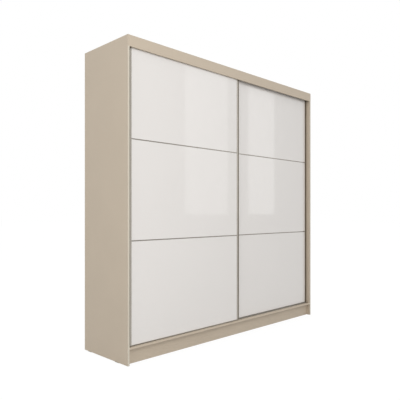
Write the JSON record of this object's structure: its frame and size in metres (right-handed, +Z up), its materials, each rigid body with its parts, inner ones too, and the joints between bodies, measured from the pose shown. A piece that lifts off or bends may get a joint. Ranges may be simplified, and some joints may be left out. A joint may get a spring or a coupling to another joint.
{
  "type": "sliding door wardrobe",
  "caption": "Sliding door wardrobe with glossy white three-pane doors in aluminium profiles, in a cashmere board carcass with a recessed plinth.",
  "frame": {"origin": "on the floor, under the centre of the whole box", "axes": "+X to the right seen from the front, -Y out of the front, +Z up"},
  "size_m": [2.38, 0.58, 2.36],
  "materials": {
    "cashmere_board": "matt melamine",
    "backing_board": "matt melamine",
    "white_glass": "back-painted, high gloss",
    "aluminium": "satin anodised",
    "steel": "zinc plated",
    "nylon": "moulded",
    "brush": "pile"
  },
  "bodies": {
    "carcass": {"side_left": "cashmere_board", "side_right": "cashmere_board", "centre_divider": "cashmere_board", "partition": "cashmere_board", "top_board": "cashmere_board", "bottom_board": "cashmere_board", "header": "cashmere_board", "plinth_front": "cashmere_board", "plinth_back": "cashmere_board", "plinth_supports": "cashmere_board", "upper_shelf_left": "cashmere_board", "upper_shelf_right": "cashmere_board", "shelf_1": "cashmere_board", "shelf_2": "cashmere_board", "shelf_3": "cashmere_board", "shelf_4": "cashmere_board", "back_panel_left": "backing_board", "back_panel_right": "backing_board", "shelf_pins": "steel", "hanging_rail_left": "steel", "hanging_rail_right": "steel", "rail_flanges": "steel", "cam_fittings": "steel", "confirmat_screws": "steel", "wall_brackets": "steel", "lower_track": "aluminium", "upper_track": "aluminium", "end_bumpers": "nylon", "glides": "nylon"},
    "left_door": {"left_door_core": "backing_board", "left_door_pane_bottom": "white_glass", "left_door_pane_middle": "white_glass", "left_door_pane_top": "white_glass", "left_door_strip_lower": "aluminium", "left_door_strip_upper": "aluminium", "left_door_stile_left": "aluminium", "left_door_stile_right": "aluminium", "left_door_top_trim": "aluminium", "left_door_bottom_trim": "aluminium", "left_door_roller_housings": "nylon", "left_door_top_guides": "nylon", "left_door_brush_seal": "brush"},
    "left_door_roller_left": {"left_door_roller_left": "nylon"},
    "left_door_roller_right": {"left_door_roller_right": "nylon"},
    "right_door": {"right_door_core": "backing_board", "right_door_pane_bottom": "white_glass", "right_door_pane_middle": "white_glass", "right_door_pane_top": "white_glass", "right_door_strip_lower": "aluminium", "right_door_strip_upper": "aluminium", "right_door_stile_left": "aluminium", "right_door_stile_right": "aluminium", "right_door_top_trim": "aluminium", "right_door_bottom_trim": "aluminium", "right_door_roller_housings": "nylon", "right_door_top_guides": "nylon", "right_door_brush_seal": "brush"},
    "right_door_roller_left": {"right_door_roller_left": "nylon"},
    "right_door_roller_right": {"right_door_roller_right": "nylon"}
  },
  "joints": [
    {"name": "left_door_slide", "type": "slide", "parent": "carcass", "child": "left_door", "axis": [1, 0, 0], "range_m": [0, 1.135]},
    {"name": "left_door_roller_left_turn", "type": "hinge", "parent": "left_door", "child": "left_door_roller_left", "pos_m": [-1.043, -0.2615, 0.1493], "axis": [0, 1, 0], "continuous": true},
    {"name": "left_door_roller_right_turn", "type": "hinge", "parent": "left_door", "child": "left_door_roller_right", "pos_m": [-0.092, -0.2615, 0.1493], "axis": [0, 1, 0], "continuous": true},
    {"name": "right_door_slide", "type": "slide", "parent": "carcass", "child": "right_door", "axis": [1, 0, 0], "range_m": [-1.135, 0]},
    {"name": "right_door_roller_left_turn", "type": "hinge", "parent": "right_door", "child": "right_door_roller_left", "pos_m": [0.092, -0.2365, 0.1493], "axis": [0, 1, 0], "continuous": true},
    {"name": "right_door_roller_right_turn", "type": "hinge", "parent": "right_door", "child": "right_door_roller_right", "pos_m": [1.043, -0.2365, 0.1493], "axis": [0, 1, 0], "continuous": true}
  ],
  "couplings": [
    {"joint": "left_door_roller_left_turn", "follows": "left_door_slide", "rad_per_m": 83.333},
    {"joint": "left_door_roller_right_turn", "follows": "left_door_slide", "rad_per_m": 83.333},
    {"joint": "right_door_roller_left_turn", "follows": "right_door_slide", "rad_per_m": 83.333},
    {"joint": "right_door_roller_right_turn", "follows": "right_door_slide", "rad_per_m": 83.333}
  ]
}
